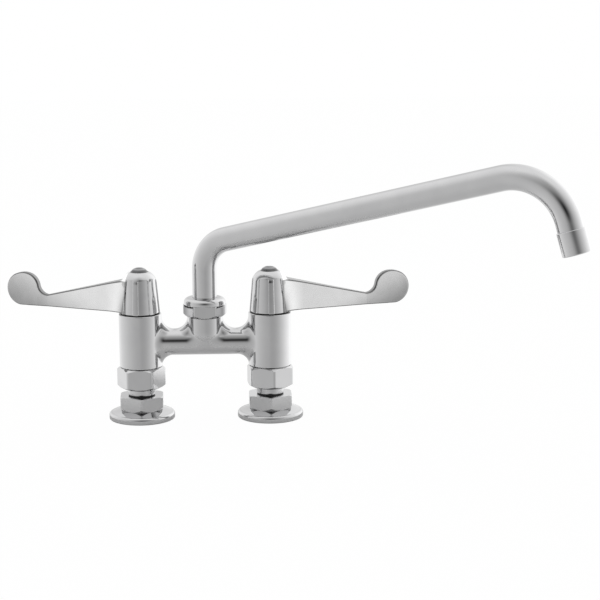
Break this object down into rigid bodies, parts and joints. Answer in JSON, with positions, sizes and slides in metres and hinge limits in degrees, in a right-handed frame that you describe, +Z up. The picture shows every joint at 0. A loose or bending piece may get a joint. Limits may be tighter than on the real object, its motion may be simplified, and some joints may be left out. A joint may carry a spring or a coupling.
{
  "type": "deck-mount mixing faucet",
  "caption": "Deck-mounted bridge mixing faucet with a hot and a cold quarter-turn wrist blade valve and a swivelling bent-tube spout with an aerator.",
  "frame": {"origin": "on the deck, midway between the centres of the two threaded inlets", "axes": "+X towards the cold inlet, -Y towards the user, +Z up from the deck"},
  "size_m": [0.4317, 0.2159, 0.2149],
  "materials": {
    "polished_chrome": "mirror-polished chrome plate on brass",
    "brass": "machined",
    "black_rubber": "moulded",
    "fibre_gasket": "pressed fibre",
    "ceramic": "lapped ceramic",
    "stainless": "turned",
    "white_nylon": "moulded",
    "index_grey": "smooth domed"
  },
  "bodies": {
    "body": {"body_casting": "polished_chrome", "swivel_nut": "polished_chrome", "hot_inlet_flange": "polished_chrome", "hot_tail_seal": "black_rubber", "hot_dust_seal": "black_rubber", "hot_tailpiece": "polished_chrome", "hot_coupling_nut": "polished_chrome", "hot_inlet_washer": "black_rubber", "hot_seat_seal": "black_rubber", "hot_fixed_disc": "ceramic", "hot_cartridge_body": "brass", "hot_cartridge_gasket": "fibre_gasket", "cold_inlet_flange": "polished_chrome", "cold_tail_seal": "black_rubber", "cold_dust_seal": "black_rubber", "cold_tailpiece": "polished_chrome", "cold_coupling_nut": "polished_chrome", "cold_inlet_washer": "black_rubber", "cold_seat_seal": "black_rubber", "cold_fixed_disc": "ceramic", "cold_cartridge_body": "brass", "cold_cartridge_gasket": "fibre_gasket"},
    "hot_valve": {"hot_moving_disc": "ceramic", "hot_stem": "brass", "hot_stem_o_rings": "black_rubber", "hot_stem_clip": "stainless", "hot_handle": "polished_chrome", "hot_handle_screw": "stainless", "hot_index_button": "index_grey"},
    "cold_valve": {"cold_moving_disc": "ceramic", "cold_stem": "brass", "cold_stem_o_rings": "black_rubber", "cold_stem_clip": "stainless", "cold_handle": "polished_chrome", "cold_handle_screw": "stainless", "cold_index_button": "index_grey"},
    "spout": {"spout_tube": "polished_chrome", "spout_shank": "brass", "spout_o_rings": "black_rubber", "thrust_washer": "white_nylon", "aerator_housing": "polished_chrome", "aerator_insert": "white_nylon", "aerator_washer": "black_rubber"}
  },
  "joints": [
    {"name": "hot_valve_turn", "type": "hinge", "parent": "body", "child": "hot_valve", "pos_m": [-0.0508, 0, 0.1], "axis": [0, 0, 1], "range_deg": [0, 90]},
    {"name": "cold_valve_turn", "type": "hinge", "parent": "body", "child": "cold_valve", "pos_m": [0.0508, 0, 0.1], "axis": [0, 0, -1], "range_deg": [0, 90]},
    {"name": "spout_swivel", "type": "hinge", "parent": "body", "child": "spout", "pos_m": [0, 0, 0.1], "axis": [0, 0, 1], "continuous": true}
  ]
}
